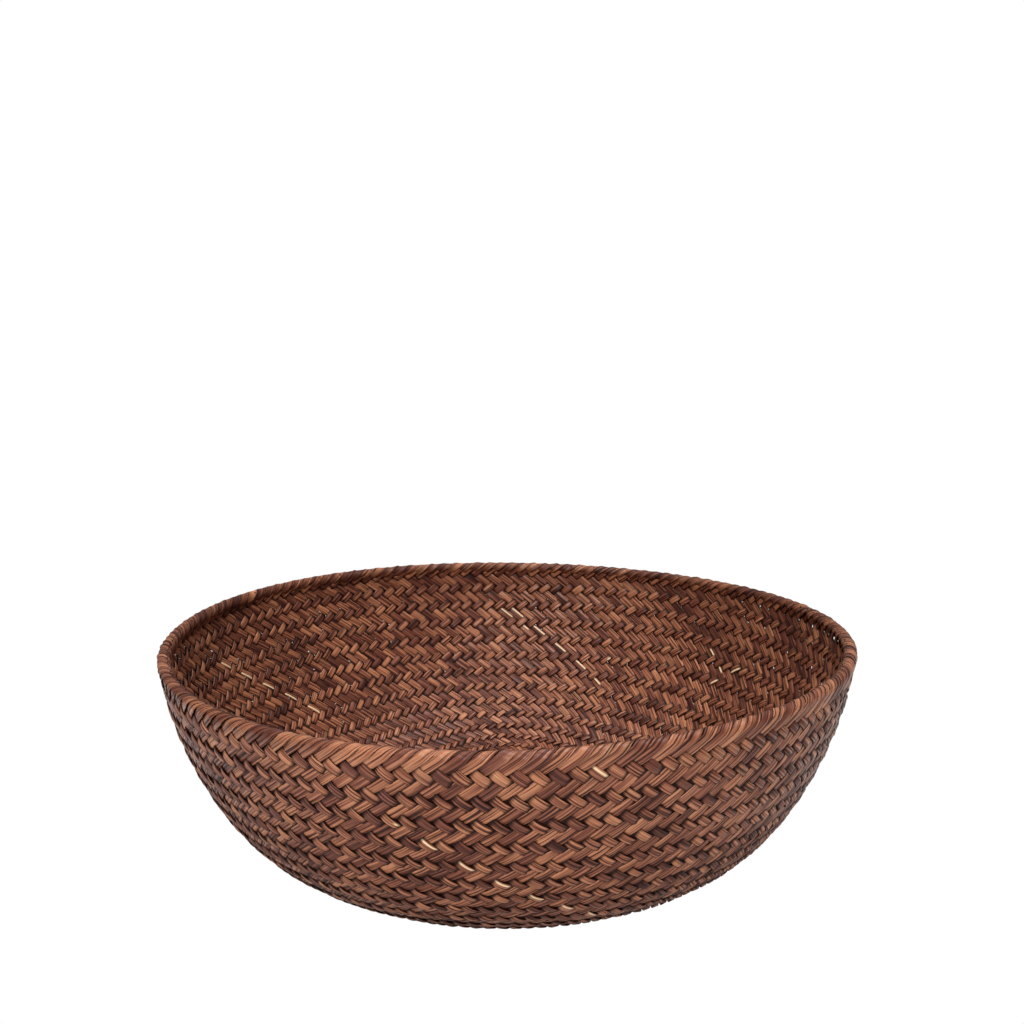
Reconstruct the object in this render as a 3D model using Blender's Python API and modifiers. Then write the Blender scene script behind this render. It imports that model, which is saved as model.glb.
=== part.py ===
"""A round plaited fruit basket: a bowl of flat strips, twill plaited on the bias, with a hooped rim.

The real basket is 144 long strips and one rim hoop. A strip starts at the rim, runs down the side,
across the floor and up to the rim again, so 144 strip ends lean right and 144 lean left on their
way up. Here neighbouring strips are joined into bundles: 18 strips in each bundle of the side, and
24 in each of the floor. Where the real strips pass over and under one another, the bundles that
lean right lie outside those that lean left.

Metres, +Z up, origin on the table under the middle of the floor.
"""

from math import cos, hypot, pi, radians, sin, tan

import bmesh
import bpy
from mathutils import Matrix, Vector

# Overall sizes
HEIGHT = 0.093  # table to the top of the rim
RIM_RADIUS = 0.150  # to the outside of the rim
FLOOR_RADIUS = 0.080  # of the flat that the basket stands on

# Strips
STRIP_THICKNESS = 0.0009
LAYER_GAP = 0.0005  # between the two layers of strips
STRIP_SLOPE = radians(37)  # that a strip climbs at, measured from level

# Rim
RIM_BAND = 0.0075  # depth of the turned-down fold
HOOP_RADIUS = 0.0012
CLEARANCE = 0.0003  # between pieces that touch

# Fullness of the side's outline
FULLNESS_AT_FLOOR = 2.25
FULLNESS_AT_RIM = 1.35

# Bundles
SIDES = ("right", "back_right", "back", "back_left", "left", "front_left", "front", "front_right")
LAYERS = (("leaning_right", 1), ("leaning_left", -1))  # outer layer first
FLOOR_BUNDLES = 3  # in each layer

# Facets
BUNDLE_FACETS = 9  # across one bundle of the side
SIDE_FACETS_UP = 12
STEPS_PER_FACET = 20  # of the sum that finds how far round a strip goes
RING_FACETS = 72
HOOP_FACETS = 8
FOLD_ARC_FACETS = 4

# Worked out from the sizes above
WALL_THICKNESS = len(LAYERS) * STRIP_THICKNESS + LAYER_GAP
LAYER_PITCH = STRIP_THICKNESS + LAYER_GAP
GUTTER_HALF_WIDTH = max(WALL_THICKNESS / 2, HOOP_RADIUS) + CLEARANCE  # inside the rim's fold
RIM_MIDDLE_RADIUS = RIM_RADIUS - STRIP_THICKNESS - GUTTER_HALF_WIDTH
HOOP_Z = HEIGHT - STRIP_THICKNESS - GUTTER_HALF_WIDTH
WALL_RADIUS = RIM_MIDDLE_RADIUS + WALL_THICKNESS / 2
WALL_TOP = HOOP_Z - HOOP_RADIUS - CLEARANCE
SHOULDER = HEIGHT - RIM_BAND  # the side stands upright above this

STRIP_BROWN = (0.165, 0.068, 0.042, 1.0)
DARK_STRIP_BROWN = (0.120, 0.050, 0.034, 1.0)
CANE_BROWN = (0.230, 0.130, 0.070, 1.0)


def clear_scene():
    for obj in list(bpy.data.objects):
        bpy.data.objects.remove(obj, do_unlink=True)


def new_collection(name):
    collection = bpy.data.collections.new(name)
    bpy.context.scene.collection.children.link(collection)
    return collection


def strip_material(name, colour, roughness):
    material = bpy.data.materials.new(name)
    material.use_nodes = True
    shader = material.node_tree.nodes["Principled BSDF"]
    shader.inputs["Base Color"].default_value = colour
    shader.inputs["Roughness"].default_value = roughness
    shader.inputs["Metallic"].default_value = 0.0
    return material


def mesh_object(name, bm, material, collection):
    """Puts a finished bmesh into a named object."""
    mesh = bpy.data.meshes.new(name)
    bm.to_mesh(mesh)
    bm.free()
    mesh.materials.append(material)
    obj = bpy.data.objects.new(name, mesh)
    collection.objects.link(obj)
    return obj


def solidify(obj):
    """Gives an open surface the thickness of a strip, behind its faces."""
    shell = obj.modifiers.new("thickness", "SOLIDIFY")
    shell.thickness = STRIP_THICKNESS
    shell.offset = -1
    shell.use_even_offset = True


def outline(share):
    """(radius, height) of the side's outside, from the floor's edge at 0 to the shoulder at 1.

    A superellipse, level at the floor and upright at the shoulder. Its points lie closest
    together near the floor, where it bends most."""
    climb = 1 - cos(share * pi / 2)
    reach = (1 - (1 - climb) ** FULLNESS_AT_RIM) ** (1 / FULLNESS_AT_FLOOR)
    start = FLOOR_RADIUS + CLEARANCE / 2
    return start + (WALL_RADIUS - start) * reach, climb * SHOULDER


def inward(share):
    """The side's unit normal, (radial, up), pointing into the basket."""
    step = 1e-4
    low = outline(max(0.0, share - step))
    high = outline(min(1.0, share + step))
    length = hypot(high[0] - low[0], high[1] - low[1])
    return (low[1] - high[1]) / length, (high[0] - low[0]) / length


def turn_between(low, high):
    """How far round the basket a strip goes as it climbs between two points of the outline."""
    distance = hypot(high[0] - low[0], high[1] - low[1])
    return distance / tan(STRIP_SLOPE) / ((low[0] + high[0]) / 2)


def side_stations():
    """[(radius, height, inward normal, turn)] up the side, and last the edge under the rim hoop."""
    stations = [(*outline(0), inward(0), 0.0)]
    turn = 0.0
    for facet in range(SIDE_FACETS_UP - 1):
        for step in range(STEPS_PER_FACET):
            low = (facet + step / STEPS_PER_FACET) / (SIDE_FACETS_UP - 1)
            high = (facet + (step + 1) / STEPS_PER_FACET) / (SIDE_FACETS_UP - 1)
            turn += turn_between(outline(low), outline(high))
        share = (facet + 1) / (SIDE_FACETS_UP - 1)
        stations.append((*outline(share), inward(share), turn))
    shoulder, top = (WALL_RADIUS, SHOULDER), (WALL_RADIUS, WALL_TOP)
    stations.append((*top, (-1.0, 0.0), turn + turn_between(shoulder, top)))
    return stations


def side_bundle(name, middle, lean, depth, material, collection):
    """Neighbouring strips of the side that lean one way, joined: a panel that twists as it climbs.

    middle is where it crosses half its turn, lean is 1 for strips that climb to the right, seen
    from outside, and depth is how far the panel's outside lies inside the side's outline."""
    stations = side_stations()
    half_turn = stations[-1][3] / 2
    half_bundle = pi / len(SIDES)
    bm = bmesh.new()
    grid = bmesh.ops.create_grid(bm, x_segments=BUNDLE_FACETS, y_segments=SIDE_FACETS_UP, size=0.5)
    for vertex in grid["verts"]:
        radius, height, normal, turn = stations[round((vertex.co.y + 0.5) * SIDE_FACETS_UP)]
        radius += normal[0] * depth
        height += normal[1] * depth
        half_width = half_bundle - CLEARANCE / sin(STRIP_SLOPE) / 2 / radius
        angle = middle + lean * (turn - half_turn) + 2 * vertex.co.x * half_width
        vertex.co = Vector((radius * cos(angle), radius * sin(angle), height))
    bmesh.ops.triangulate(bm, faces=bm.faces)
    panel = mesh_object(name, bm, material, collection)
    panel.data.shade_smooth()
    solidify(panel)


def make_side(materials, collection):
    for layer, (way, lean) in enumerate(LAYERS):
        for index, side in enumerate(SIDES):
            side_bundle(
                f"{side}_strips_{way}",
                index * 2 * pi / len(SIDES),
                lean,
                layer * LAYER_PITCH,
                materials[layer],
                collection,
            )


def trim(bm, offset, facing):
    """Cuts away what lies past the plane x = offset, towards facing, and closes the cut."""
    cut = bmesh.ops.bisect_plane(
        bm,
        geom=bm.verts[:] + bm.edges[:] + bm.faces[:],
        plane_co=(offset, 0, 0),
        plane_no=(facing, 0, 0),
        clear_outer=True,
    )
    edges = [part for part in cut["geom_cut"] if isinstance(part, bmesh.types.BMEdge)]
    bmesh.ops.edgeloop_fill(bm, edges=edges)


def floor_bundle(name, index, bottom, turn, material, collection):
    """Neighbouring strips of the floor, joined: a slice of a disc. They lie along Y before it turns."""
    radius = FLOOR_RADIUS - CLEARANCE / 2
    width = 2 * radius / FLOOR_BUNDLES
    bm = bmesh.new()
    bmesh.ops.create_cone(
        bm,
        cap_ends=True,
        segments=RING_FACETS,
        radius1=radius,
        radius2=radius,
        depth=STRIP_THICKNESS,
        matrix=Matrix.Translation((0, 0, bottom + STRIP_THICKNESS / 2)),
    )
    if index > 0:
        trim(bm, -radius + index * width + CLEARANCE / 2, -1)
    if index < FLOOR_BUNDLES - 1:
        trim(bm, -radius + (index + 1) * width - CLEARANCE / 2, 1)
    bmesh.ops.recalc_face_normals(bm, faces=bm.faces)
    slice_object = mesh_object(name, bm, material, collection)
    slice_object.rotation_euler.z = turn


def make_floor(materials, collection):
    """The lower strips cross the floor from front to back, and the upper ones from left to right."""
    for index, place in enumerate(("left", "middle", "right")):
        floor_bundle(f"floor_strips_lower_{place}", index, 0, 0, materials[0], collection)
    for index, place in enumerate(("front", "middle", "back")):
        floor_bundle(f"floor_strips_upper_{place}", index, LAYER_PITCH, radians(90), materials[1], collection)


def make_hoop(material, collection):
    """The cane hoop that the strips fold over."""
    bpy.ops.mesh.primitive_torus_add(
        major_radius=RIM_MIDDLE_RADIUS,
        minor_radius=HOOP_RADIUS,
        major_segments=RING_FACETS,
        minor_segments=HOOP_FACETS,
        location=(0, 0, HOOP_Z),
    )
    hoop = bpy.context.object
    hoop.name = "rim_hoop"
    hoop.data.name = "rim_hoop"
    hoop.data.shade_smooth()
    hoop.data.materials.append(material)
    for holder in list(hoop.users_collection):
        holder.objects.unlink(hoop)
    collection.objects.link(hoop)


def fold_profile():
    """(radius, height) across the rim's fold, from its inner edge over the hoop to its outer edge."""
    half_width = GUTTER_HALF_WIDTH + STRIP_THICKNESS
    arc = [pi - pi * step / FOLD_ARC_FACETS for step in range(FOLD_ARC_FACETS + 1)]
    over = [(RIM_MIDDLE_RADIUS + half_width * cos(a), HOOP_Z + half_width * sin(a)) for a in arc]
    bottom = HEIGHT - RIM_BAND
    return [(RIM_MIDDLE_RADIUS - half_width, bottom), *over, (RIM_RADIUS, bottom)]


def make_rim_fold(material, collection):
    """The strip ends, turned over the hoop and down both faces of the side: an upturned gutter."""
    bm = bmesh.new()
    vertices = [bm.verts.new((radius, 0, height)) for radius, height in fold_profile()]
    for first, second in zip(vertices, vertices[1:]):
        bm.edges.new((first, second))
    fold = mesh_object("rim_fold", bm, material, collection)
    turn = fold.modifiers.new("turn", "SCREW")
    turn.axis = "Z"
    turn.angle = 2 * pi
    turn.steps = RING_FACETS
    turn.render_steps = RING_FACETS
    turn.use_merge_vertices = True
    turn.merge_threshold = 0.00001
    turn.use_smooth_shade = True
    solidify(fold)


def main():
    clear_scene()
    basket = new_collection("fruit_basket")
    strips = strip_material("stained_strip", STRIP_BROWN, 0.5)
    dark_strips = strip_material("dark_stained_strip", DARK_STRIP_BROWN, 0.5)
    cane = strip_material("hoop_cane", CANE_BROWN, 0.6)
    make_floor((strips, dark_strips), basket)
    make_side((strips, dark_strips), basket)
    make_hoop(cane, basket)
    make_rim_fold(strips, basket)


main()
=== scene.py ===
"""Round plaited fruit basket: 144 strips really passing over and under one another, round a rim hoop.

The strips are laid out on a lattice of crossings. The floor is a square of crossings with its corners
to the front, right, back and left, so its strips run along its two diagonals. Each of its four edges
sends up 36 strip ends that lean right and 36 that lean left. Every row of the side has 144 crossings,
whatever its radius. A strip passes over two strips and under two, and at the rim it meets the hoop.
"""

import math

import bpy
import numpy as np
from bpy.props import FloatProperty, FloatVectorProperty, IntProperty, PointerProperty
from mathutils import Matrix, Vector


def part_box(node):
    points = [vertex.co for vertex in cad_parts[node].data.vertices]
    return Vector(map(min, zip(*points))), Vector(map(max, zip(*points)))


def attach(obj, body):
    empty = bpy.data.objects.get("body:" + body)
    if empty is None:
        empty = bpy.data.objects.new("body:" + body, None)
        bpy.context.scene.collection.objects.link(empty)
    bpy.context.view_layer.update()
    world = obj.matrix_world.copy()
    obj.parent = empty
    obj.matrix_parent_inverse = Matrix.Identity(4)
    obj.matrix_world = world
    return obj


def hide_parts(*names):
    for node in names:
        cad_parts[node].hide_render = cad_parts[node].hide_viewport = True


bl_info = {
    "name": "Plaited Fruit Basket",
    "version": (1, 0, 0),
    "blender": (4, 5, 0),
    "location": "View3D > Sidebar > Basket",
    "description": "Plaits a round twill basket from long strips over a rim hoop",
    "category": "Add Mesh",
}

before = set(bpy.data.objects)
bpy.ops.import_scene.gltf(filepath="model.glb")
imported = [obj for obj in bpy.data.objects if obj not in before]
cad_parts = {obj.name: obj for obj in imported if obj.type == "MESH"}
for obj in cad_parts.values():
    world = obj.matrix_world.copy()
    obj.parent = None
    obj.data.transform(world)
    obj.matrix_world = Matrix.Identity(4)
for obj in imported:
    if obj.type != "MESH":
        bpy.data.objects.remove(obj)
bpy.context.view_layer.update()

MM = 0.001
SIDES = ("right", "back_right", "back", "back_left", "left", "front_left", "front", "front_right")

# The lattice
PER_EDGE = 36  # strips of each lean that rise from one edge of the floor
ROUND = 4 * PER_EDGE  # crossings in every row of the side
STEPS = 3  # points of a strip for each crossing
TWILL = 4  # rows in which the plait repeats
ROWS = 54  # of crossings up the side, above the floor's outermost ring
OUTERMOST_RING = 0.9  # its radius, over the floor's

# How the lattice settles
SETTLE_ROUNDS = 800
SPEED_KEPT = 0.93  # from one round to the next
GIVE = 0.3  # added speed, over the pull
FINEST_RADIUS = 0.8  # over the floor's: the plait gets finer inwards as far as here
EVENING = 0.1  # pull towards the middle of the four neighbours, beside the springs
FLOOR_EVENING = 0.6  # more of it in the floor, where springs alone would kink
EVENING_FADES = (0.7 * PER_EDGE, 1.7 * PER_EDGE)  # rings that it fades out between

# The frame's sizes
FOLD_LOW, FOLD_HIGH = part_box("rim_fold")
HOOP_LOW, HOOP_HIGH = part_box("rim_hoop")
HEIGHT = FOLD_HIGH.z
SHOULDER = FOLD_LOW.z
HOOP_RADIUS = (HOOP_HIGH.z - HOOP_LOW.z) / 2
HOOP_Z = (HOOP_HIGH.z + HOOP_LOW.z) / 2
RING_RADIUS = HOOP_HIGH.x - HOOP_RADIUS
WALL_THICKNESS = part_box("floor_strips_upper_middle")[1].z
WALL_RADIUS = RING_RADIUS + WALL_THICKNESS / 2
FLOOR_RADIUS = max(v.co.xy.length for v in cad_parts["floor_strips_lower_middle"].data.vertices)
FULLNESS_AT_FLOOR = 2.25
FULLNESS_AT_RIM = 1.35

# Points that the outline is worked out at
FLOOR_POINTS = 200
SIDE_POINTS = 600
SHOULDER_POINTS = 40
SEARCH_POINTS = 400  # of the outline's upper part, and that the rows are placed among

# The rim
FOLD_GAP = 0.25 * MM  # between the hoop and the strips that turn over it
LAST_ROW_DROP = 3.3 * MM  # last crossing below the top of the rim
INNER_LEG = 2.7 * MM  # that a turned strip shows below the top, inside
INNER_BULGE = 0.55  # that it stands off the ends it covers there, over its thickness
TAIL_DROP = 4.3 * MM  # below the top, where its tucked end stops
TURN_SHOWN = (1, 1, 1, 0.9, 0.5, 0.15, 0.05, 0.0, 0.0)  # how lit its face is painted on the way round, going into painted shade inside
SHORT_END = ((-0.84, 2.5 * MM, -1), (-0.8, 1.8 * MM, -0.5))  # of a left-leaning strip, inside the hoop; the last of each is how lit it is painted, here painted shade
AT_HOOP = {True: 0.95, False: -0.74}  # last crossing from the wall's middle, over the turn's radius
PARTING = 0.5  # the same for the crossing before it
RIM_ROWS = (6, 2)  # rows below the last that the strips close up between
RIM_COVER = {True: 1.13, False: 1.07}
RIM_TILT = 0.65  # one side over the other, over the rim's wave
WAVE_AT = math.radians(-27)  # direction of one of the rim's two high places

# How strips ride over and under, by whether they lean right
SIDE_STARTS = (0.55 * PER_EDGE, 1.3 * PER_EDGE)  # rings between the floor's plait and the side's
FLOOR_SWING = 0.5  # in and out, over the thickness
SIDE_SWING = {True: -0.3, False: 0.35}  # more than that in the side
OPENNESS = {True: 0.45, False: -0.22}  # of the creases, in their painted shade: more is lighter
LEAST_COVER = {True: 1.03, False: 0.6}

# Unevenness: sizes over width or spacing, and waves in crossings
WAVES = 3  # added up in one drift
WAVE_SPREAD = (0.6, 1.8)  # their lengths, over the length asked for
STRIP_VARIATION = 0.035
COVER_DRIFT, COVER_WAVE = 0.03, 9
SIDEWAYS_DRIFT, SIDEWAYS_WAVE = 0.022, 14
TILT_DRIFT, TILT_WAVE = math.radians(5), 5

# A strip's cross section: a circle whose two coordinates are raised to powers
STRIP_SIDES = 8
EDGE_SQUARENESS = 0.45
CROWN = 0.8
MAP_BREAKS = 3  # lengths that a strip is cut into in the map

# Grain: noise for each metre along and across a strip
FINE_GRAIN = (60.0, 3300.0, 1.0)
RIDGES = (26.0, 1400.0, 1.0)
STAIN_PATCHES = (60.0, 200.0, 1.0)
TONE_STEP = 31.0  # through the noise, from the darkest strip to the lightest
GROOVE = (0.022, 0.007, 0.005, 1.0)
HAIRLINE = (0.03, 0.01, 0.007, 1.0)
# painted highlight, for glints on a few fibres
FIBRE_GLINT = (0.62, 0.33, 0.17, 1.0)
# painted shade for creases and for what lies under other strips
CREASE_SHADE = (0.016, 0.005, 0.004, 1.0)
GRAIN_DEPTH = 0.12 * MM
STAIN_DEPTHS = {"stained_strips": 1.0, "dark_stained_strips": 0.88, "hoop_cane": 0.7}

# The stage
WHITE = (1.0, 1.0, 1.0, 1.0)
STAGE_REACH = 4.0
AMBIENT = 0.3  # light from all round
LIGHTS = (  # name, place, target, diameter and power
    ("overhead", (0.1, 0.1, 1.1), (0, 0, 0.03), 0.8, 9),
    ("front", (-0.25, -1.25, 0.95), (0, 0, 0.05), 0.7, 15),
)
CAMERA_PLACE = (2.1 * MM, -519 * MM, HEIGHT + 140 * MM)
CAMERA_TILT = math.radians(9.5)  # below level
CAMERA_SENSOR = 36
CAMERA_LENS = 42.1875


class BasketSettings(bpy.types.PropertyGroup):
    """Sizes and colours of the strips"""

    strip_thickness: FloatProperty(
        name="Strip Thickness",
        description="Of a strip at the rim",
        default=0.85 * MM,
        unit="LENGTH",
    )
    floor_thickness: FloatProperty(
        name="Floor Thickness",
        description="Of a strip in the floor",
        default=0.6 * MM,
        unit="LENGTH",
    )
    wide_cover: FloatProperty(
        name="Right-Leaning Cover",
        description="Width over spacing of the strips that lean right",
        default=1.04,
    )
    narrow_cover: FloatProperty(
        name="Left-Leaning Cover",
        description="Width over spacing of the strips that lean left",
        default=0.9,
    )
    floor_cover: FloatProperty(
        name="Floor Cover",
        description="Width over spacing of the strips in the floor",
        default=1.03,
    )
    unevenness: FloatProperty(
        name="Unevenness",
        description="How far the strips stray from an even plait",
        default=1.0,
    )
    rim_wave: FloatProperty(
        name="Rim Wave",
        description="How far the rim rises and falls",
        default=1.4 * MM,
        unit="LENGTH",
    )
    seed: IntProperty(
        name="Seed",
        description="Of everything that varies from strip to strip",
        default=7,
    )
    dark: FloatVectorProperty(
        name="Dark Strips",
        description="Colour of the darkest strips",
        default=(0.060, 0.0165, 0.012),
        subtype="COLOR",
    )
    middle: FloatVectorProperty(
        name="Middle Strips",
        description="Colour of most strips",
        default=(0.190, 0.057, 0.031),
        subtype="COLOR",
    )
    light: FloatVectorProperty(
        name="Light Strips",
        description="Colour of the lightest strips",
        default=(0.50, 0.20, 0.098),
        subtype="COLOR",
    )
    sliver: FloatVectorProperty(
        name="Slivers",
        description="Colour of bare fibres",
        default=(0.86, 0.62, 0.38),
        subtype="COLOR",
    )


# Strips with a bare sliver: whether it leans right there, its direction at the rim in degrees, and
# the heights in millimetres that the sliver runs between.
SLIVERS = (
    (True, 176, 26, 67),
    (True, 104, 55, 71),
    (True, 101, 30, 68),
    (True, 59, 48, 57),
    (False, 41, 44, 50),
    (False, 11, 43, 56),
    (False, -119, 14, 64),
    (False, -81, 76, 86),
)


# --- The surface that the strips lie on ---


def surface():
    """The middle of the wall, from the floor's middle to the hoop.

    Gives the distance along it, its radius, its height, and its outward normal (radial, up)."""
    share = np.linspace(0, 1, SIDE_POINTS)
    climb = 1 - np.cos(share * math.pi / 2)
    reach = (1 - (1 - climb) ** FULLNESS_AT_RIM) ** (1 / FULLNESS_AT_FLOOR)
    floor = np.linspace(0, FLOOR_RADIUS, FLOOR_POINTS, endpoint=False)
    side = FLOOR_RADIUS + (WALL_RADIUS - FLOOR_RADIUS) * reach
    upright = np.linspace(SHOULDER, HEIGHT, SHOULDER_POINTS)[1:]
    radius = np.concatenate([floor, side, np.full(len(upright), WALL_RADIUS)])
    height = np.concatenate([np.zeros(len(floor)), climb * SHOULDER, upright])
    along = np.hypot(np.gradient(radius), np.gradient(height))
    normal = np.stack([np.gradient(height) / along, -np.gradient(radius) / along], axis=1)
    radius = radius - normal[:, 0] * WALL_THICKNESS / 2
    height = height - normal[:, 1] * WALL_THICKNESS / 2
    steps = np.hypot(np.diff(radius), np.diff(height))
    distance = np.concatenate([[0], np.cumsum(steps)])
    return distance, radius, height, normal


SURFACE = surface()


def at(distance):
    """Radius, height and outward normal of the surface at distances along it."""
    known, radius, height, normal = SURFACE
    out, up = (np.interp(distance, known, part) for part in normal.T)
    return (
        np.interp(distance, known, radius),
        np.interp(distance, known, height),
        np.stack([out, up], axis=-1),
    )


def smoothstep(value, low, high):
    """0 up to low, 1 from high on, and a smooth rise between."""
    share = np.clip((value - low) / (high - low), 0, 1)
    return share * share * (3 - 2 * share)


# --- The lattice of crossings ---


def row_distances():
    """Distance along the surface of the floor's outermost ring, and of each row of the side."""
    known, _, height, _ = SURFACE
    last = np.interp(HEIGHT - LAST_ROW_DROP, height[-SEARCH_POINTS:], known[-SEARCH_POINTS:])
    distance = np.linspace(OUTERMOST_RING * FLOOR_RADIUS, last, SEARCH_POINTS)
    crowding = np.concatenate([[0], np.cumsum(1 / np.sqrt(at(distance[1:])[0]))])
    return np.interp(np.linspace(0, crowding[-1], ROWS + 1), crowding, distance)


def on_surface(places):
    """Points in space of places in the unrolled plan."""
    distance = np.hypot(places[:, 0], places[:, 1])
    radius, height, _ = at(distance)
    return np.column_stack([places * (radius / distance)[:, None], height])


class Lattice:
    """The crossings, and which of them each strip runs through."""

    def __init__(self):
        self.rows = row_distances()
        self.number = {}  # of every crossing in the floor, by its place in the square
        self.places = []  # in a plan with the bowl unrolled, so as far out as along the surface
        self.ring = []  # row of every crossing, counted from the floor's middle
        self.add_floor()
        self.side = np.zeros((ROWS + 1, ROUND), int)
        self.add_side()
        self.places = np.array(self.places)
        self.ring = np.array(self.ring)
        self.strips = self.trace_strips()
        self.settle()
        self.spacing = self.spacings()

    def add(self, distance, angle, ring):
        """Adds a crossing and gives its number."""
        self.places.append((distance * math.cos(angle), distance * math.sin(angle)))
        self.ring.append(ring)
        return len(self.places) - 1

    def add_floor(self):
        """Square rings of crossings, counted outwards from the four in the middle."""
        for i in range(-PER_EDGE, PER_EDGE):
            for j in range(-PER_EDGE, PER_EDGE):
                ring = max(i, -1 - i) + max(j, -1 - j)
                if ring < PER_EDGE:
                    angle = math.atan2(j + 0.5, i + 0.5)
                    distance = self.rows[0] * (ring + 1) / PER_EDGE
                    self.number[i, j] = self.add(distance, angle, ring)

    def add_side(self):
        """Row 0 is the floor's outermost ring. A column is the crossings of one right-leaning end."""
        quarters = {(True, True): 0, (False, True): 1, (False, False): 2, (True, False): 3}
        for i, j in self.number:
            a, b = max(i, -1 - i), max(j, -1 - j)
            if a + b == PER_EDGE - 1:
                quarter = quarters[i >= 0, j >= 0]
                self.side[0, quarter * PER_EDGE + (a if quarter % 2 else b)] = self.number[i, j]
        for row in range(1, ROWS + 1):
            for column in range(ROUND):
                angle = (column + 0.5 + row / 2) * 2 * math.pi / ROUND
                self.side[row, column] = self.add(self.rows[row], angle, PER_EDGE - 1 + row)
        for column in range(ROUND):
            angle = (column + 0.5) * 2 * math.pi / ROUND
            self.places[self.side[0, column]] = (
                self.rows[0] * math.cos(angle),
                self.rows[0] * math.sin(angle),
            )

    def up(self, column, leans_right):
        """The crossings of one strip end, from the floor's edge to the rim."""
        rows = np.arange(1, ROWS + 1)
        return list(self.side[rows, column if leans_right else (column - rows) % ROUND])

    def trace_strips(self):
        """[(crossings from rim to rim, whether it leans right at each)] for every strip."""
        strips = []
        for across in (False, True):
            for lane in range(-PER_EDGE, PER_EDGE):
                strips.append(self.trace(lane, across))
        return strips

    def trace(self, lane, across):
        """One strip of the floor, and the two ends that it rises in."""
        step = max(lane, -1 - lane)
        reach = PER_EDGE - step
        others = range(-reach, reach)
        floor = [self.number[(other, lane) if across else (lane, other)] for other in others]
        # A strip's two ends leave by neighbouring edges of the floor, one leaning right and one left.
        ahead_right = (lane < 0) if across else (lane >= 0)
        if across:
            ahead = 4 * PER_EDGE - 1 - step if lane < 0 else step
            behind = 2 * PER_EDGE + step if lane < 0 else 2 * PER_EDGE - 1 - step
        else:
            ahead = PER_EDGE - 1 - step if lane >= 0 else PER_EDGE + step
            behind = 3 * PER_EDGE + step if lane >= 0 else 3 * PER_EDGE - 1 - step
        start = self.up(behind, not ahead_right)[::-1]
        end = self.up(ahead, ahead_right)
        lean = [not ahead_right] * (len(start) + reach) + [ahead_right] * (reach + len(end))
        return np.array(start + floor + end), np.array(lean)

    def settle(self):
        """Lets the crossings slide over the surface on springs until they are evenly spaced.

        The plait gets finer towards the floor, so a spring's length at rest follows the radius."""
        neighbours = [[] for _ in self.places]
        for crossings, _ in self.strips:
            for first, second in zip(crossings, crossings[1:]):
                neighbours[first].append(second)
                neighbours[second].append(first)
        free = np.flatnonzero(self.ring < PER_EDGE - 1 + ROWS)
        around = np.array([neighbours[crossing] for crossing in free])
        pitch = math.pi * RING_RADIUS / ROUND
        rest_at_rim = math.hypot(pitch, self.rows[-1] - self.rows[-2])
        floor_share = 1 - smoothstep(self.ring[free], *EVENING_FADES)
        evening = EVENING + FLOOR_EVENING * floor_share[:, None]
        speed = np.zeros((len(free), 2))
        for _ in range(SETTLE_ROUNDS):
            distance = np.hypot(self.places[:, 0], self.places[:, 1])
            radius, height, normal = at(distance)
            outward = self.places / distance[:, None]
            points = np.column_stack([outward * radius[:, None], height])
            rest = np.maximum(radius, FINEST_RADIUS * FLOOR_RADIUS) / RING_RADIUS
            rest = rest_at_rim * np.sqrt(rest)
            pull = points[around] - points[free][:, None]
            length = np.linalg.norm(pull, axis=2)
            slack = 1 - (rest[around] + rest[free][:, None]) / 2 / length + evening
            force = (pull * slack[:, :, None]).mean(axis=1)
            out, normal = outward[free], normal[free]
            outwards = force[:, 0] * out[:, 0] + force[:, 1] * out[:, 1]
            along = outwards * -normal[:, 1] + force[:, 2] * normal[:, 0]
            around_axis = force[:, 1] * out[:, 0] - force[:, 0] * out[:, 1]
            around_axis = around_axis * distance[free] / radius[free]
            sideways = np.column_stack([-out[:, 1], out[:, 0]])
            pulled = along[:, None] * out + around_axis[:, None] * sideways
            speed = SPEED_KEPT * speed + GIVE * pulled
            self.places[free] += speed

    def spacings(self):
        """For every strip, how far apart it and its neighbours lie, across it, at each crossing."""
        points = on_surface(self.places)
        passes = np.zeros((len(points), 2, 3))
        count = np.zeros(len(points), int)
        order = []
        for crossings, _ in self.strips:
            order.append(count[crossings])
            passes[crossings, count[crossings]] = np.gradient(points[crossings], axis=0)
            count[crossings] += 1
        spacing = []
        for (crossings, _), mine in zip(self.strips, order):
            own, other = passes[crossings, mine], passes[crossings, 1 - mine]
            area = np.linalg.norm(np.cross(own, other), axis=1)
            spacing.append(area / np.linalg.norm(own, axis=1))
        return spacing


# --- The strips ---


def through(values, steps):
    """Smooth curve through values (Catmull-Rom), with a number of points for each gap."""
    padded = np.concatenate([[2 * values[0] - values[1]], values, [2 * values[-1] - values[-2]]])
    before, start, end, after = padded[:-3], padded[1:-2], padded[2:-1], padded[3:]
    pieces = []
    for step in range(steps):
        t = step / steps
        pieces.append(
            0.5
            * (
                2 * start
                + (end - before) * t
                + (2 * before - 5 * start + 4 * end - after) * t**2
                + (3 * start - before - 3 * end + after) * t**3
            )
        )
    smooth = np.stack(pieces, axis=1).reshape(-1, values.shape[1])
    return np.concatenate([smooth, values[-1:]])


def wander(count, rng, size, length):
    """A gentle random drift at count points, in waves about length points long."""
    steps = np.arange(count)
    drift = np.zeros(count)
    for _ in range(WAVES):
        wave = length * rng.uniform(*WAVE_SPREAD)
        drift += np.sin(2 * math.pi * (steps / wave + rng.random()))
    return size * drift / math.sqrt(WAVES / 2)


def lift(height, angle, wave):
    """How far the rim's wave raises a point: nothing at the table, and most at the rim."""
    share = np.clip(height / HEIGHT, 0, 1.05) ** 2
    tilt = RIM_TILT * wave * np.cos(angle)
    saddle = wave * np.cos(2 * (angle - WAVE_AT))
    return share * (tilt + saddle)


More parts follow.
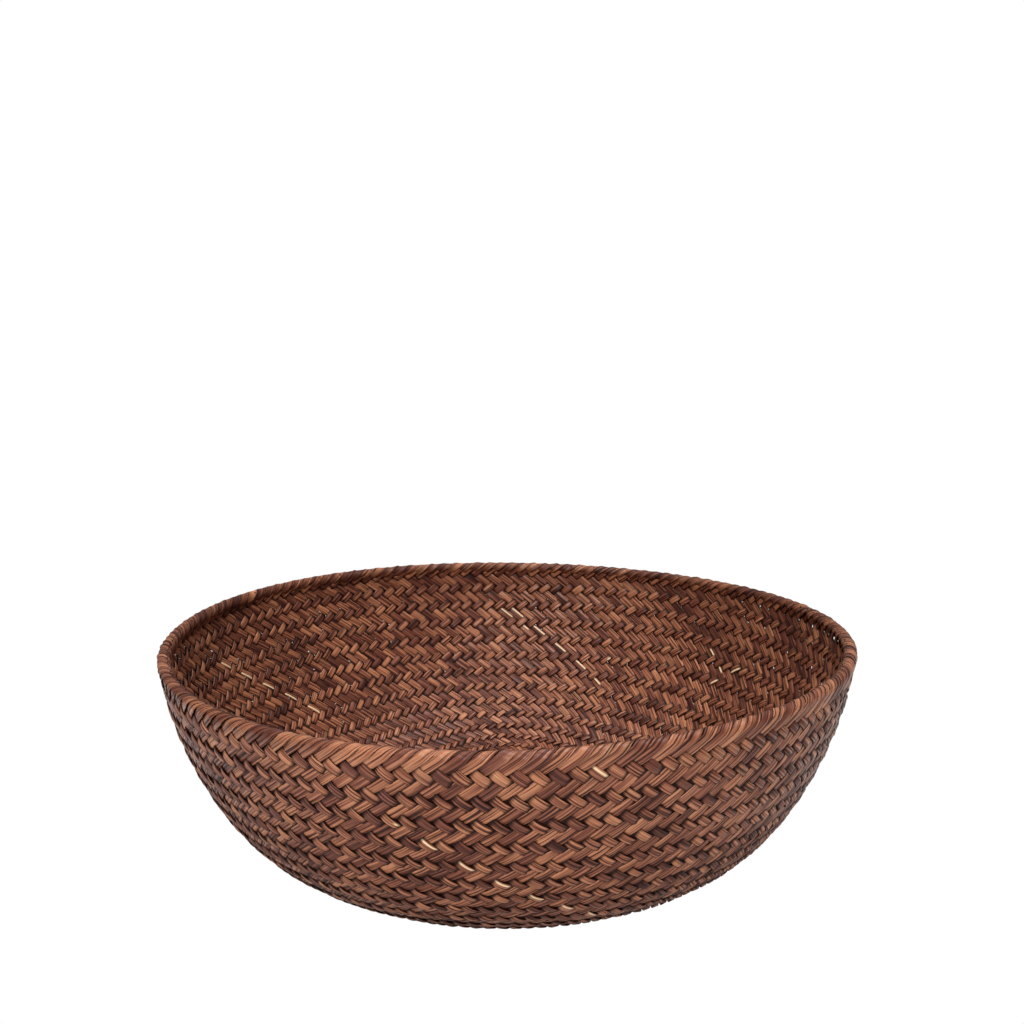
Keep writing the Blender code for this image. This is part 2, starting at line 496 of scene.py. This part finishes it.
def rim_end(leans_right, thickness):
    """Past the last crossing: radial and up from the hoop, outward normal (radial, up), and shown, how
    lit the face is painted.

    A right-leaning strip comes up outside, turns over the hoop, covers the ends of the left-leaning
    ones inside and tucks in below them. A left-leaning one ends inside the hoop, below those turns."""
    turn = HOOP_RADIUS + FOLD_GAP + thickness / 2
    top = HEIGHT - HOOP_Z
    # The inner leg and the tucked tail are painted in shade, as are the short ends.
    if not leans_right:
        return np.array([(out * turn, top - drop, 1, 0, shown) for out, drop, shown in SHORT_END])
    points = []
    for step, shown in enumerate(TURN_SHOWN):
        angle = math.pi * step / (len(TURN_SHOWN) - 1)
        cos, sin = math.cos(angle), math.sin(angle)
        reach = turn + INNER_BULGE * thickness * max(0, -cos)
        points.append((reach * cos, turn * sin, cos, sin, shown))
    points.append((-turn - INNER_BULGE * thickness, top - INNER_LEG, -1, 0, 0.0))
    for out, drop, shown in ((-0.8, (INNER_LEG + TAIL_DROP) / 2, 0), (-0.3, TAIL_DROP, -1)):
        points.append((out * turn, top - drop, -0.9, -0.4, shown))
    return np.array(points)


def bare_stretches(lattice):
    """{(strip, end): (low height, high height)} of the slivers."""
    directions = {}
    for number, (crossings, leans_right) in enumerate(lattice.strips):
        for end in (0, -1):
            place = lattice.places[crossings[end]]
            direction = math.degrees(math.atan2(place[1], place[0]))
            directions[number, end] = (bool(leans_right[end]), direction)
    stretches = {}
    for right, wanted, low, high in SLIVERS:
        ends = [key for key, (lean, _) in directions.items() if lean == right]
        nearest = min(ends, key=lambda key: abs((directions[key][1] - wanted + 180) % 360 - 180))
        stretches[nearest] = (low * MM, high * MM)
    return stretches


def by_lean(leans_right, values):
    """values[True] where a strip leans right, and values[False] where it leans left."""
    return np.where(leans_right, values[True], values[False])


def strip_line(lattice, number, settings, rng, bare):
    """One strip as arrays of points, directions, tones and what else its shape needs."""
    crossings, leans_right = lattice.strips[number]
    spacing = lattice.spacing[number]
    count = len(crossings)
    ring = lattice.ring[crossings]
    places = lattice.places[crossings]
    distance = np.hypot(places[:, 0], places[:, 1])
    radius = at(distance)[0]
    thinnest = FLOOR_RADIUS / 2
    thickening = np.clip((radius - thinnest) / (RING_RADIUS - thinnest), 0, 1)
    thin = settings.floor_thickness
    thin = thin + (settings.strip_thickness - thin) * thickening
    uneven = settings.unevenness

    # Right-leaning strips are pulled tight and lie flat; left-leaning ones bend round them.
    side = smoothstep(ring, *SIDE_STARTS)
    swing = (FLOOR_SWING + by_lean(leans_right, SIDE_SWING) * side) * thin
    over = np.where(leans_right, ring % TWILL < 2, ring % TWILL >= 2)
    offset = np.where(over, swing, -swing)

    cover = by_lean(leans_right, {True: settings.wide_cover, False: settings.narrow_cover})
    cover = settings.floor_cover + (cover - settings.floor_cover) * side
    cover = cover * (1 + STRIP_VARIATION * uneven * rng.standard_normal())
    cover = cover + wander(count, rng, COVER_DRIFT * uneven, COVER_WAVE)
    near_rim = smoothstep(ring, *(ring.max() - np.array(RIM_ROWS)))
    cover = cover + (by_lean(leans_right, RIM_COVER) - cover) * near_rim
    least = by_lean(leans_right, LEAST_COVER)
    least = np.where(leans_right, least, least + (1 - least) * (1 - side))
    cover = np.clip(cover, least, RIM_COVER[True])
    half_width = cover * spacing / 2

    # At the rim the strips part round the hoop.
    turn = HOOP_RADIUS + FOLD_GAP + settings.strip_thickness / 2
    for end, inner in ((0, 1), (-1, -2)):
        out = 1 if leans_right[end] else -1
        offset[end] = turn * AT_HOOP[bool(leans_right[end])]
        offset[inner] = out * turn * PARTING
    sideways = wander(count, rng, SIDEWAYS_DRIFT * uneven, SIDEWAYS_WAVE) * spacing
    tilt = wander(count, rng, TILT_DRIFT * uneven, TILT_WAVE)

    # Which side faces out, and how open the creases are, only set the painted shade.
    facing = np.where(over, 1, -1)
    tight = by_lean(leans_right, OPENNESS) * side
    data = [places, offset, half_width, thin / 2, sideways, tilt, facing, tight]
    data = through(np.column_stack(data), STEPS)
    distance = np.hypot(data[:, 0], data[:, 1])
    angle = np.unwrap(np.arctan2(data[:, 1], data[:, 0]))
    radius, height, normal = at(distance)
    line = {
        "radius": radius + normal[:, 0] * data[:, 2],
        "height": height + normal[:, 1] * data[:, 2],
        "angle": angle,
        "out": normal[:, 0],
        "up": normal[:, 1],
        "half_width": data[:, 3],
        "half_thickness": data[:, 4],
        "sideways": data[:, 5],
        "tilt": data[:, 6],
        "over": data[:, 7],
        "tight": data[:, 8],
    }
    line["float_tone"] = float_tones(count, ring, rng)
    line["pale"] = np.zeros(len(height))
    for end, half in ((0, slice(None, len(height) // 2)), (-1, slice(len(height) // 2, None))):
        if (number, end) in bare:
            low, high = bare[number, end]
            line["pale"][half] = (height[half] > low) & (height[half] < high)
    for end in (0, -1):
        line = extend(line, end, leans_right[end], settings)
    return finish_line(line, settings)


def float_tones(count, ring, rng):
    """A tone from 0 to 1 for each point, new for every stretch over or under two others."""
    stretch = np.floor((ring % TWILL) / 2) + 2 * np.floor(ring / TWILL)
    change = np.concatenate([[0], np.cumsum(np.abs(np.diff(stretch)) > 0)]).astype(int)
    tones = rng.random(change[-1] + 2)
    nearest = np.round(np.arange((count - 1) * STEPS + 1) / STEPS).astype(int)
    return tones[change[np.clip(nearest, 0, count - 1)]]


def extend(line, end, leans_right, settings):
    """Carries one end of a strip up and over the rim."""
    shape = rim_end(leans_right, settings.strip_thickness)
    radial, up = RING_RADIUS + shape[:, 0], HOOP_Z + shape[:, 1]
    from_radius = np.concatenate([[line["radius"][end]], radial])
    from_height = np.concatenate([[line["height"][end]], up])
    path = np.cumsum(np.hypot(np.diff(from_radius), np.diff(from_height)))
    way = 1 if leans_right else -1
    back = -1 - STEPS if end else STEPS
    turned, climbed = (abs(line[name][end] - line[name][back]) for name in ("angle", "height"))
    run = turned * RING_RADIUS / climbed
    added = {
        "radius": radial,
        "height": up,
        "angle": line["angle"][end] + way * path * run / RING_RADIUS,
        "out": shape[:, 2],
        "up": shape[:, 3],
        # how lit the end is painted stands in for over and under
        "over": shape[:, 4],
    }
    longer = {}
    for name, values in line.items():
        new = added.get(name, np.full(len(shape), 0.0 if name == "pale" else values[end]))
        parts = [new[::-1], values] if end == 0 else [values, new]
        longer[name] = np.concatenate(parts)
    return longer


def finish_line(line, settings):
    """Turns radius, height and angle into points, and finds how the strip's width and face lie."""
    angle = line["angle"]
    cos, sin = np.cos(angle), np.sin(angle)
    height = line["height"] + lift(line["height"], angle, settings.rim_wave)
    centre = np.column_stack([line["radius"] * cos, line["radius"] * sin, height])
    outward = np.column_stack([line["out"] * cos, line["out"] * sin, line["up"]])
    along = np.gradient(centre, axis=0)
    along /= np.linalg.norm(along, axis=1, keepdims=True)
    across = np.cross(outward, along)
    across /= np.linalg.norm(across, axis=1, keepdims=True)
    rise = np.cross(along, across)
    centre = centre + across * line["sideways"][:, None]
    tilt = line["tilt"][:, None]
    turned = across * np.cos(tilt) + rise * np.sin(tilt)
    rise = rise * np.cos(tilt) - across * np.sin(tilt)
    steps = np.linalg.norm(np.diff(centre, axis=0), axis=1)
    return {
        "centre": centre,
        "across": turned * line["half_width"][:, None],
        "rise": rise * line["half_thickness"][:, None],
        "along": np.concatenate([[0], np.cumsum(steps)]),
        "over": line["over"],
        "tight": line["tight"],
        "float_tone": line["float_tone"],
        "pale": line["pale"],
    }


def store(mesh, name, values):
    """Keeps a number or a vector at each of a mesh's points."""
    kind, field = ("FLOAT_VECTOR", "vector") if values.ndim == 2 else ("FLOAT", "value")
    attribute = mesh.attributes.new(name, kind, "POINT")
    attribute.data.foreach_set(field, np.ascontiguousarray(values, np.float32).ravel())


def rails(name, lines, tones):
    """Centre lines of strips as edges, with what the strips' shape and colour need at each point."""
    mesh = bpy.data.meshes.new(name)
    joined = {key: np.concatenate([line[key] for line in lines]) for key in lines[0]}
    points = joined.pop("centre")
    counts = [len(line["centre"]) for line in lines]
    first = np.setdiff1d(np.arange(len(points) - 1), np.cumsum(counts) - 1)
    mesh.from_pydata(points.tolist(), np.column_stack([first, first + 1]).tolist(), [])
    for key, values in joined.items():
        store(mesh, key, values)
    each = np.repeat(np.arange(len(lines)), counts)
    store(mesh, "lane", each)
    store(mesh, "strip_tone", np.array(tones)[each])
    return mesh


# --- Geometry nodes ---


def node(tree, kind, inputs=None, **settings):
    """Adds a node, with its settings, and its inputs as values or links."""
    made = tree.nodes.new(kind)
    for name, value in settings.items():
        setattr(made, name, value)
    for key, value in (inputs or {}).items():
        socket = made.inputs[key]
        if isinstance(value, bpy.types.NodeSocket):
            tree.links.new(value, socket)
        else:
            socket.default_value = value
    return made


def add_sockets(tree, way, kind, *names):
    for name in names:
        tree.interface.new_socket(name, in_out=way, socket_type="NodeSocket" + kind)


def named(tree, name, kind="FLOAT"):
    made = node(tree, "GeometryNodeInputNamedAttribute", {"Name": name}, data_type=kind)
    return made.outputs["Attribute"]


def kept(tree, geometry, name, kind, value):
    """Geometry with a value stored under a name."""
    inputs = {"Geometry": geometry, "Name": name, "Value": value}
    made = node(tree, "GeometryNodeStoreNamedAttribute", inputs, data_type=kind)
    return made.outputs["Geometry"]


def maths(tree, operation, *values):
    return node(tree, "ShaderNodeMath", dict(enumerate(values)), operation=operation).outputs[0]


def vector_maths(tree, operation, first, **others):
    """The other inputs are named second and scale."""
    keys = {"second": 1, "scale": "Scale"}
    inputs = {0: first, **{keys[name]: value for name, value in others.items()}}
    made = node(tree, "ShaderNodeVectorMath", inputs, operation=operation)
    return made.outputs["Value" if operation == "LENGTH" else "Vector"]


def rounded_share(tree, value, power):
    """A circle's coordinate pushed outwards, which makes the circle a rounded bar."""
    size = maths(tree, "POWER", maths(tree, "ABSOLUTE", value), power)
    return maths(tree, "MULTIPLY", size, maths(tree, "SIGN", value))


def strip_tree():
    """Geometry nodes that give rails their width, thickness and material."""
    tree = bpy.data.node_groups.new("Strips along rails", "GeometryNodeTree")
    add_sockets(tree, "INPUT", "Geometry", "Rails")
    add_sockets(tree, "INPUT", "Int", "Sides")
    add_sockets(tree, "INPUT", "Float", "Edge Squareness", "Crown")
    add_sockets(tree, "INPUT", "Material", "Material")
    add_sockets(tree, "OUTPUT", "Geometry", "Strips")
    entry = node(tree, "NodeGroupInput").outputs

    line = node(tree, "GeometryNodeMeshToCurve", {"Mesh": entry["Rails"]}).outputs["Curve"]
    position = node(tree, "GeometryNodeInputPosition").outputs[0]
    line = kept(tree, line, "centre", "FLOAT_VECTOR", position)
    circle = {"Resolution": entry["Sides"], "Radius": 1.0}
    ring = node(tree, "GeometryNodeCurvePrimitiveCircle", circle, mode="RADIUS").outputs["Curve"]
    index = node(tree, "GeometryNodeInputIndex").outputs[0]
    ring = kept(tree, ring, "round", "FLOAT", maths(tree, "DIVIDE", index, entry["Sides"]))
    sweep = {"Curve": line, "Profile Curve": ring, "Fill Caps": True}
    tube = node(tree, "GeometryNodeCurveToMesh", sweep).outputs["Mesh"]

    # Half a side on, so that flats and not corners face up, down and sideways.
    half_side = maths(tree, "DIVIDE", 0.5, entry["Sides"])
    turn = maths(tree, "MULTIPLY", maths(tree, "ADD", named(tree, "round"), half_side), 2 * math.pi)
    wide = rounded_share(tree, maths(tree, "COSINE", turn), entry["Edge Squareness"])
    high = rounded_share(tree, maths(tree, "SINE", turn), entry["Crown"])
    across, rise, place = (named(tree, name, "FLOAT_VECTOR") for name in ("across", "rise", "centre"))
    for direction, share in ((across, wide), (rise, high)):
        offset = vector_maths(tree, "SCALE", direction, scale=share)
        place = vector_maths(tree, "ADD", place, second=offset)

    # A strip's own coordinates: along it, across it, and through the noise from strip to strip.
    tone = maths(tree, "MULTIPLY", named(tree, "strip_tone"), TONE_STEP)
    own = {
        "X": named(tree, "along"),
        "Y": maths(tree, "MULTIPLY", wide, vector_maths(tree, "LENGTH", across)),
        "Z": maths(tree, "ADD", tone, high),
    }
    on_strip = node(tree, "ShaderNodeCombineXYZ", own).outputs[0]
    tube = kept(tree, tube, "on_strip", "FLOAT_VECTOR", on_strip)
    # How far each face shows: the material paints low values in crease shade.
    facing = maths(tree, "MULTIPLY", high, named(tree, "over"))
    tight = maths(tree, "MULTIPLY", maths(tree, "ABSOLUTE", high), named(tree, "tight"))
    tube = kept(tree, tube, "shown", "FLOAT", maths(tree, "ADD", facing, tight))

    shaped = node(tree, "GeometryNodeSetPosition", {"Geometry": tube, "Position": place})
    real = node(tree, "GeometryNodeRealizeInstances", {"Geometry": shaped.outputs["Geometry"]})
    stain = {"Geometry": real.outputs["Geometry"], "Material": entry["Material"]}
    stained = node(tree, "GeometryNodeSetMaterial", stain)
    node(tree, "NodeGroupOutput", {"Strips": stained.outputs["Geometry"]})
    return tree


def plain_mesh(obj, name):
    """Replaces an object's mesh by what its modifiers make of it."""
    graph = bpy.context.evaluated_depsgraph_get()
    mesh = bpy.data.meshes.new_from_object(
        obj.evaluated_get(graph), preserve_all_data_layers=True, depsgraph=graph
    )
    mesh.name = name
    old = obj.data
    obj.modifiers.clear()
    obj.data = mesh
    bpy.data.meshes.remove(old)


def read(mesh, name):
    """The number kept under a name at each of a mesh's points."""
    values = np.zeros(len(mesh.vertices), np.float32)
    mesh.attributes[name].data.foreach_get("value", values)
    return values


def unwrap(mesh, lanes):
    """Lays each strip out flat in the map, cut into lengths, one under the other."""
    along, around, lane = (read(mesh, name) for name in ("along", "round", "lane"))
    corners = np.zeros(len(mesh.loops), np.int32)
    mesh.loops.foreach_get("vertex_index", corners)
    starts = np.zeros(len(mesh.polygons), np.int32)
    mesh.polygons.foreach_get("loop_start", starts)
    face = np.searchsorted(starts, np.arange(len(corners)), side="right") - 1

    # A face that closes the ring runs on past 1.
    turn = around[corners]
    widest = np.maximum.reduceat(turn, starts)[face]
    turn = np.where((widest > 0.8) & (turn < 0.2), turn + 1, turn)
    length = along.max() * 1.001 / MAP_BREAKS
    middle = np.add.reduceat(along[corners], starts) / np.bincount(face)
    part = np.floor(middle / length)[face]
    rows = lanes * MAP_BREAKS
    row = lane[corners] * MAP_BREAKS + part
    u = 0.01 + 0.98 * np.clip(along[corners] / length - part, -0.01, 1.01)
    v = (row + 0.06 + 0.88 * turn) / rows
    layer = mesh.uv_layers.new(name="OFBake")
    layer.data.foreach_set("uv", np.column_stack([u, v]).astype(np.float32).ravel())


# --- Materials ---


def fibre_group():
    """Grain of a split strip: fine lines along it, patches of stain, bare slivers at one edge, painted
    glints on a few fibres, and painted shade in creases.
    """
    tree = bpy.data.node_groups.new("Strip fibres", "ShaderNodeTree")
    add_sockets(tree, "INPUT", "Vector", "On Strip")
    add_sockets(tree, "INPUT", "Float", "Shown", "Strip Tone", "Float Tone", "Pale")
    add_sockets(tree, "INPUT", "Color", "Dark", "Middle", "Light", "Sliver")
    add_sockets(tree, "OUTPUT", "Color", "Color")
    add_sockets(tree, "OUTPUT", "Float", "Roughness", "Gloss", "Height")
    entry = node(tree, "NodeGroupInput").outputs

    def noise(stretch, detail):
        scaled = vector_maths(tree, "MULTIPLY", entry["On Strip"], second=stretch)
        inputs = {"Vector": scaled, "Scale": 1.0, "Detail": detail, "Roughness": 0.6}
        return node(tree, "ShaderNodeTexNoise", inputs).outputs["Fac"]

    def spread(value, low, high, to_low=0.0, to_high=1.0):
        ends = {"From Min": low, "From Max": high, "To Min": to_low, "To Max": to_high}
        return node(tree, "ShaderNodeMapRange", {"Value": value, **ends}).outputs["Result"]

    def mix(share, first, second):
        inputs = {0: share, 6: first, 7: second}
        return node(tree, "ShaderNodeMix", inputs, data_type="RGBA", blend_type="MIX").outputs[2]

    fine = noise(FINE_GRAIN, 3.0)
    ridge = noise(RIDGES, 1.0)
    patch = noise(STAIN_PATCHES, 2.0)
    tone = maths(tree, "MULTIPLY", entry["Strip Tone"], 0.45)
    tone = maths(tree, "ADD", tone, maths(tree, "MULTIPLY", entry["Float Tone"], 0.22))
    tone = maths(tree, "ADD", tone, spread(patch, 0.3, 0.7, -0.08, 0.30))
    tone = maths(tree, "ADD", tone, spread(ridge, 0.32, 0.68, -0.34, 0.46))
    colour = mix(spread(tone, 0.0, 0.48), entry["Dark"], entry["Middle"])
    colour = mix(spread(tone, 0.48, 1.0), colour, entry["Light"])
    colour = mix(spread(ridge, 0.44, 0.33, 0.0, 0.8), colour, GROOVE)
    colour = mix(spread(fine, 0.45, 0.30, 0.0, 0.6), colour, HAIRLINE)

    # On some floats, the stretches that show, a few fibres get a painted highlight: light tan glints.
    glint_float = spread(entry["Float Tone"], 0.72, 0.95, 0.0, 0.6)
    glint = maths(tree, "MULTIPLY", spread(fine, 0.56, 0.66), glint_float)
    colour = mix(glint, colour, FIBRE_GLINT)

    # A bare sliver runs along one edge of a few strips.
    across = node(tree, "ShaderNodeSeparateXYZ", {0: entry["On Strip"]}).outputs["Y"]
    inner, outer = spread(across, 0.35 * MM, 0.6 * MM), spread(across, 1.45 * MM, 1.1 * MM)
    near_edge = maths(tree, "MULTIPLY", inner, outer)
    colour = mix(maths(tree, "MULTIPLY", near_edge, entry["Pale"]), colour, entry["Sliver"])

    # Painted shade: creases, and what lies under other strips, are painted dark, and lose their coat
    # there too.
    painted_shade = spread(entry["Shown"], 0.62, 0.08, 0.0, 0.97)
    colour = mix(painted_shade, colour, CREASE_SHADE)
    shine = spread(ridge, 0.4, 0.7, 0.12, 0.6)
    results = {
        "Color": colour,
        "Roughness": spread(ridge, 0.3, 0.7, 0.58, 0.36),
        "Gloss": maths(tree, "MULTIPLY", maths(tree, "SUBTRACT", 1.0, painted_shade), shine),
        "Height": maths(tree, "ADD", fine, maths(tree, "MULTIPLY", ridge, 3.0)),
    }
    node(tree, "NodeGroupOutput", results)
    return tree


def shared(name, build):
    """The node group of that name, built the first time."""
    return bpy.data.node_groups.get(name) or build()


def strip_material(name, settings):
    """Split wood, as darkly stained as its slot says."""
    material = bpy.data.materials.new(name)
    material.use_nodes = True
    tree = material.node_tree
    shader = tree.nodes["Principled BSDF"]
    group = node(tree, "ShaderNodeGroup", node_tree=shared("Strip fibres", fibre_group))
    for socket, attribute in (
        ("On Strip", "on_strip"),
        ("Shown", "shown"),
        ("Strip Tone", "strip_tone"),
        ("Float Tone", "float_tone"),
        ("Pale", "pale"),
    ):
        source = node(tree, "ShaderNodeAttribute", attribute_name=attribute)
        output = "Vector" if socket == "On Strip" else "Fac"
        tree.links.new(source.outputs[output], group.inputs[socket])
    for socket in ("Dark", "Middle", "Light"):
        colour = getattr(settings, socket.lower())
        stained = [channel * STAIN_DEPTHS[name] for channel in colour]
        group.inputs[socket].default_value = (*stained, 1.0)
    group.inputs["Sliver"].default_value = (*settings.sliver, 1.0)
    relief = {"Height": group.outputs["Height"], "Distance": GRAIN_DEPTH, "Strength": 1.0}
    bump = node(tree, "ShaderNodeBump", relief)
    for output, socket in (
        (group.outputs["Color"], "Base Color"),
        (group.outputs["Roughness"], "Roughness"),
        (group.outputs["Gloss"], "Coat Weight"),
        (bump.outputs["Normal"], "Normal"),
    ):
        tree.links.new(output, shader.inputs[socket])
    shader.inputs["Specular IOR Level"].default_value = 0.1
    shader.inputs["Coat Roughness"].default_value = 0.38
    return material


# --- Pieces ---


def link(obj):
    bpy.context.scene.collection.objects.link(obj)
    return obj


def strips_piece(name, lines, tones, material):
    """Strips as one piece, with only what its material reads kept at its points."""
    obj = link(bpy.data.objects.new(name, rails(name + "_rails", lines, tones)))
    shaper = obj.modifiers.new("strips", "NODES")
    shaper.node_group = shared("Strips along rails", strip_tree)
    values = {
        "Sides": STRIP_SIDES,
        "Edge Squareness": EDGE_SQUARENESS,
        "Crown": CROWN,
        "Material": material,
    }
    for item in shaper.node_group.interface.items_tree:
        if item.in_out == "INPUT" and item.name in values:
            shaper[item.identifier] = values[item.name]
    plain_mesh(obj, name)
    unwrap(obj.data, len(lines))
    for spare in ("centre", "across", "rise", "along", "round", "lane", "over", "tight"):
        obj.data.attributes.remove(obj.data.attributes[spare])
    obj.data.shade_smooth()
    return obj


def settings_of(context):
    return context.scene.basket_settings


class BASKET_OT_plait(bpy.types.Operator):
    """Plait the 144 strips, in eight bundles of 18 that lie side by side"""

    bl_idname = "basket.plait"
    bl_label = "Plait Strips"

    def execute(self, context):
        settings = settings_of(context)
        rng = np.random.default_rng(settings.seed)
        lattice = Lattice()
        bare = bare_stretches(lattice)
        slots = ("stained_strips", "dark_stained_strips")
        materials = {slot: strip_material(slot, settings) for slot in slots}
        bundle = PER_EDGE // 2
        for number in range(len(SIDES)):
            across = number >= len(SIDES) // 2
            slot = "dark_stained_strips" if across else "stained_strips"
            lines, tones = [], []
            for strip in range(number * bundle, (number + 1) * bundle):
                lines.append(strip_line(lattice, strip, settings, rng, bare))
                tones.append(rng.random())
            name = f"strips_{'across' if across else 'along'}_{number % 4 + 1}"
            piece = strips_piece(name, lines, tones, materials[slot])
            way = "left" if across else "right"
            nodes = [f"{SIDES[side]}_strips_leaning_{way}" for side in (number, number - 4)]
            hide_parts(*nodes)
            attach(piece, "root")
        layers = {"strips_along_2": "lower", "strips_across_2": "upper"}
        for name, layer in layers.items():
            nodes = [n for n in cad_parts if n.startswith(f"floor_strips_{layer}")]
            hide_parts(*sorted(nodes))
        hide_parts("rim_fold")
        return {"FINISHED"}


class BASKET_OT_hoop(bpy.types.Operator):
    """Bend the cane hoop that the strips turn over"""

    bl_idname = "basket.hoop"
    bl_label = "Bend Hoop"

    def execute(self, context):
        settings = settings_of(context)
        count = 2 * ROUND
        angle = np.linspace(0, 2 * math.pi, count + 1)
        height = HOOP_Z + lift(np.full(count + 1, HOOP_Z), angle, settings.rim_wave)
        cos, sin = np.cos(angle), np.sin(angle)
        centre = np.column_stack([RING_RADIUS * cos, RING_RADIUS * sin, height])
        outward = np.column_stack([cos, sin, np.zeros(count + 1)])
        upward = np.tile([0.0, 0.0, 1.0], (count + 1, 1))
        line = {
            "centre": centre,
            "across": upward * HOOP_RADIUS,
            "rise": outward * HOOP_RADIUS,
            "along": RING_RADIUS * angle,
            # Nothing of the hoop shows, so its whole face is painted in crease shade.
            "over": np.zeros(count + 1),
            "tight": np.zeros(count + 1),
            "float_tone": np.full(count + 1, 0.5),
            "pale": np.zeros(count + 1),
        }
        material = strip_material("hoop_cane", settings)
        hoop = strips_piece("rim_hoop_cane", [line], [0.4], material)
        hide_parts("rim_hoop")
        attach(hoop, "root")
        return {"FINISHED"}


def area_light(name, place, target, size, power):
    light = bpy.data.lights.new(name, "AREA")
    light.shape = "DISK"
    light.size = size
    light.energy = power
    obj = link(bpy.data.objects.new(name, light))
    obj.location = place
    obj.rotation_euler = (Vector(target) - Vector(place)).to_track_quat("-Z", "Y").to_euler()


class BASKET_OT_stage(bpy.types.Operator):
    """Set a pale floor, soft lights and the camera round the basket"""

    bl_idname = "basket.stage"
    bl_label = "Set Stage"

    def execute(self, context):
        floor = bpy.data.meshes.new("stage_floor")
        signs = ((-1, -1), (1, -1), (1, 1), (-1, 1))
        corners = [(x * STAGE_REACH, y * STAGE_REACH, 0) for x, y in signs]
        floor.from_pydata(corners, [], [(0, 1, 2, 3)])
        material = bpy.data.materials.new("pale_floor")
        material.use_nodes = True
        tree = material.node_tree
        shader = tree.nodes["Principled BSDF"]
        shader.inputs["Base Color"].default_value = (0.8, 0.8, 0.8, 1.0)
        shader.inputs["Roughness"].default_value = 0.9
        glow = node(tree, "ShaderNodeEmission", {"Color": WHITE, "Strength": 1.0})
        seen = node(tree, "ShaderNodeLightPath").outputs["Is Camera Ray"]
        shaders = {0: seen, 1: shader.outputs[0], 2: glow.outputs[0]}
        mixed = node(tree, "ShaderNodeMixShader", shaders)
        tree.links.new(mixed.outputs[0], tree.nodes["Material Output"].inputs["Surface"])
        floor.materials.append(material)
        link(bpy.data.objects.new("stage_floor", floor))

        world = bpy.data.worlds.new("studio")
        world.use_nodes = True
        tree = world.node_tree
        sky = tree.nodes["Background"]
        sky.inputs["Color"].default_value = WHITE
        seen = node(tree, "ShaderNodeLightPath").outputs["Is Camera Ray"]
        levels = {"Value": seen, "To Min": AMBIENT, "To Max": 1.0}
        strength = node(tree, "ShaderNodeMapRange", levels)
        tree.links.new(strength.outputs["Result"], sky.inputs["Strength"])
        context.scene.world = world
        context.scene.view_settings.view_transform = "Standard"
        for light in LIGHTS:
            area_light(*light)

        camera = bpy.data.cameras.new("camera")
        camera.sensor_width = CAMERA_SENSOR
        camera.lens = CAMERA_LENS
        obj = link(bpy.data.objects.new("camera", camera))
        obj.location = CAMERA_PLACE
        obj.rotation_euler = (math.pi / 2 - CAMERA_TILT, 0, 0)
        context.scene.camera = obj
        return {"FINISHED"}


class BASKET_PT_panel(bpy.types.Panel):
    """The basket's operators, in the order that they are used"""

    bl_idname = "BASKET_PT_panel"
    bl_label = "Plaited Fruit Basket"
    bl_space_type = "VIEW_3D"
    bl_region_type = "UI"
    bl_category = "Basket"

    def draw(self, context):
        for name in BasketSettings.__annotations__:
            self.layout.prop(context.scene.basket_settings, name)
        for operator in OPERATORS:
            self.layout.operator(operator.bl_idname)


OPERATORS = (BASKET_OT_plait, BASKET_OT_hoop, BASKET_OT_stage)
CLASSES = (BasketSettings, *OPERATORS, BASKET_PT_panel)


def register():
    for cls in CLASSES:
        bpy.utils.register_class(cls)
    bpy.types.Scene.basket_settings = PointerProperty(type=BasketSettings)


def unregister():
    del bpy.types.Scene.basket_settings
    for cls in reversed(CLASSES):
        bpy.utils.unregister_class(cls)


def main():
    register()
    bpy.ops.basket.plait()
    bpy.ops.basket.hoop()
    bpy.ops.basket.stage()


if __name__ == "__main__":
    main()
